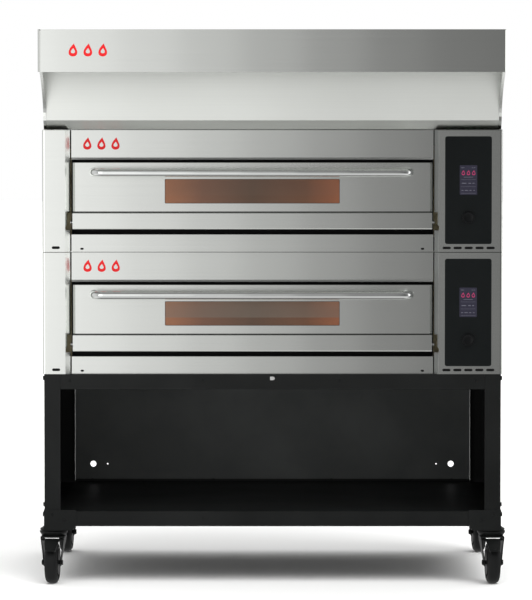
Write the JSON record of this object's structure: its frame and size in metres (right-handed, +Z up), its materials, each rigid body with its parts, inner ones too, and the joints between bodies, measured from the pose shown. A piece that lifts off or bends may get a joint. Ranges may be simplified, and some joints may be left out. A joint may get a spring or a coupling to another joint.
{
  "type": "two-deck electric pizza oven",
  "caption": "Floor-standing stainless deck pizza oven: stacked decks with drop-down glazed doors and side controls, black open stand on swivel castors, overhanging extraction hood.",
  "frame": {"origin": "middle of the footprint, on the floor", "axes": "+X to the operator's right, +Y to the rear, +Z up"},
  "size_m": [1.3998, 1.25, 1.665],
  "materials": {
    "brushed_steel": "fine horizontal brushed grain, satin",
    "polished_steel": "bright polished stainless tube",
    "black_paint": "black powder coat, fine texture, satin",
    "black_glass": "smooth black printed glass",
    "window_glass": "smooth amber-tinted oven glass",
    "black_plastic": "fine matt moulded",
    "circuit_board": "solder-resist lacquer",
    "aluminised_steel": "dull heat-marked sheet",
    "mineral_wool": "loose fibre blanket",
    "refractory_stone": "rough fired brick",
    "heating_element": "oxidised sheath, matt",
    "castor_tyre": "smooth black polymer tyre, satin"
  },
  "bodies": {
    "oven": {"lower_casing": "brushed_steel", "lower_front_frame": "brushed_steel", "lower_left_column": "brushed_steel", "lower_control_column": "brushed_steel", "lower_control_glass": "black_glass", "lower_control_board": "circuit_board", "lower_chamber": "aluminised_steel", "lower_insulation": "mineral_wool", "lower_stone": "refractory_stone", "lower_top_heater": "heating_element", "lower_bottom_heater": "heating_element", "upper_casing": "brushed_steel", "upper_front_frame": "brushed_steel", "upper_left_column": "brushed_steel", "upper_control_column": "brushed_steel", "upper_control_glass": "black_glass", "upper_control_board": "circuit_board", "upper_chamber": "aluminised_steel", "upper_insulation": "mineral_wool", "upper_stone": "refractory_stone", "upper_top_heater": "heating_element", "upper_bottom_heater": "heating_element", "hood_canopy": "brushed_steel", "hood_fascia": "brushed_steel", "hood_left_cheek": "brushed_steel", "hood_right_cheek": "brushed_steel", "hood_front_panel": "brushed_steel", "stand_front_left_leg": "black_paint", "stand_front_right_leg": "black_paint", "stand_left_panel": "black_paint", "stand_right_panel": "black_paint", "stand_back_panel": "black_paint", "stand_top_rail": "black_paint", "stand_shelf": "black_paint", "castor_front_left_bracket": "black_paint", "castor_front_right_bracket": "black_paint", "castor_rear_left_bracket": "black_paint", "castor_rear_right_bracket": "black_paint"},
    "lower_door_leaf": {"lower_door": "brushed_steel", "lower_door_glass": "window_glass", "lower_handle": "polished_steel", "lower_door_bar": "brushed_steel", "lower_hinge_rod": "polished_steel"},
    "lower_knob": {"lower_control_knob": "black_plastic"},
    "upper_door_leaf": {"upper_door": "brushed_steel", "upper_door_glass": "window_glass", "upper_handle": "polished_steel", "upper_door_bar": "brushed_steel", "upper_hinge_rod": "polished_steel"},
    "upper_knob": {"upper_control_knob": "black_plastic"},
    "castor_front_left_swivel": {"castor_front_left_fork": "black_paint"},
    "castor_front_left_wheel": {"castor_front_left_wheel": "castor_tyre"},
    "castor_front_left_brake": {"castor_front_left_brake": "black_paint"},
    "castor_front_right_swivel": {"castor_front_right_fork": "black_paint"},
    "castor_front_right_wheel": {"castor_front_right_wheel": "castor_tyre"},
    "castor_front_right_brake": {"castor_front_right_brake": "black_paint"},
    "castor_rear_left_swivel": {"castor_rear_left_fork": "black_paint"},
    "castor_rear_left_wheel": {"castor_rear_left_wheel": "castor_tyre"},
    "castor_rear_right_swivel": {"castor_rear_right_fork": "black_paint"},
    "castor_rear_right_wheel": {"castor_rear_right_wheel": "castor_tyre"}
  },
  "joints": [
    {"name": "lower_door_hinge", "type": "hinge", "parent": "oven", "child": "lower_door_leaf", "pos_m": [0, -0.3, 0.7174], "axis": [1, 0, 0], "range_deg": [0, 85]},
    {"name": "lower_knob_turn", "type": "hinge", "parent": "oven", "child": "lower_knob", "pos_m": [0.585, -0.315, 0.7326], "axis": [0, 1, 0], "continuous": true},
    {"name": "upper_door_hinge", "type": "hinge", "parent": "oven", "child": "upper_door_leaf", "pos_m": [0, -0.3, 1.083], "axis": [1, 0, 0], "range_deg": [0, 85]},
    {"name": "upper_knob_turn", "type": "hinge", "parent": "oven", "child": "upper_knob", "pos_m": [0.585, -0.315, 1.0982], "axis": [0, 1, 0], "continuous": true},
    {"name": "castor_front_left_swivel_turn", "type": "hinge", "parent": "oven", "child": "castor_front_left_swivel", "pos_m": [-0.658, -0.27, 0.15], "axis": [0, 0, 1], "continuous": true},
    {"name": "castor_front_left_wheel_roll", "type": "hinge", "parent": "castor_front_left_swivel", "child": "castor_front_left_wheel", "pos_m": [-0.66032, -0.30793, 0.0625], "axis": [0.9981, -0.061, 0], "continuous": true},
    {"name": "castor_front_left_brake_press", "type": "hinge", "parent": "castor_front_left_swivel", "child": "castor_front_left_brake", "pos_m": [-0.66008, -0.30394, 0.131], "axis": [0.9981, -0.061, 0], "range_deg": [0, 8]},
    {"name": "castor_front_right_swivel_turn", "type": "hinge", "parent": "oven", "child": "castor_front_right_swivel", "pos_m": [0.658, -0.27, 0.15], "axis": [0, 0, 1], "continuous": true},
    {"name": "castor_front_right_wheel_roll", "type": "hinge", "parent": "castor_front_right_swivel", "child": "castor_front_right_wheel", "pos_m": [0.66032, -0.30793, 0.0625], "axis": [0.9981, 0.061, 0], "continuous": true},
    {"name": "castor_front_right_brake_press", "type": "hinge", "parent": "castor_front_right_swivel", "child": "castor_front_right_brake", "pos_m": [0.66008, -0.30394, 0.131], "axis": [0.9981, 0.061, 0], "range_deg": [0, 8]},
    {"name": "castor_rear_left_swivel_turn", "type": "hinge", "parent": "oven", "child": "castor_rear_left_swivel", "pos_m": [-0.658, 0.583, 0.15], "axis": [0, 0, 1], "continuous": true},
    {"name": "castor_rear_left_wheel_roll", "type": "hinge", "parent": "castor_rear_left_swivel", "child": "castor_rear_left_wheel", "pos_m": [-0.66032, 0.54507, 0.0625], "axis": [0.9981, -0.061, 0], "continuous": true},
    {"name": "castor_rear_right_swivel_turn", "type": "hinge", "parent": "oven", "child": "castor_rear_right_swivel", "pos_m": [0.658, 0.583, 0.15], "axis": [0, 0, 1], "continuous": true},
    {"name": "castor_rear_right_wheel_roll", "type": "hinge", "parent": "castor_rear_right_swivel", "child": "castor_rear_right_wheel", "pos_m": [0.66032, 0.54507, 0.0625], "axis": [0.9981, 0.061, 0], "continuous": true}
  ]
}
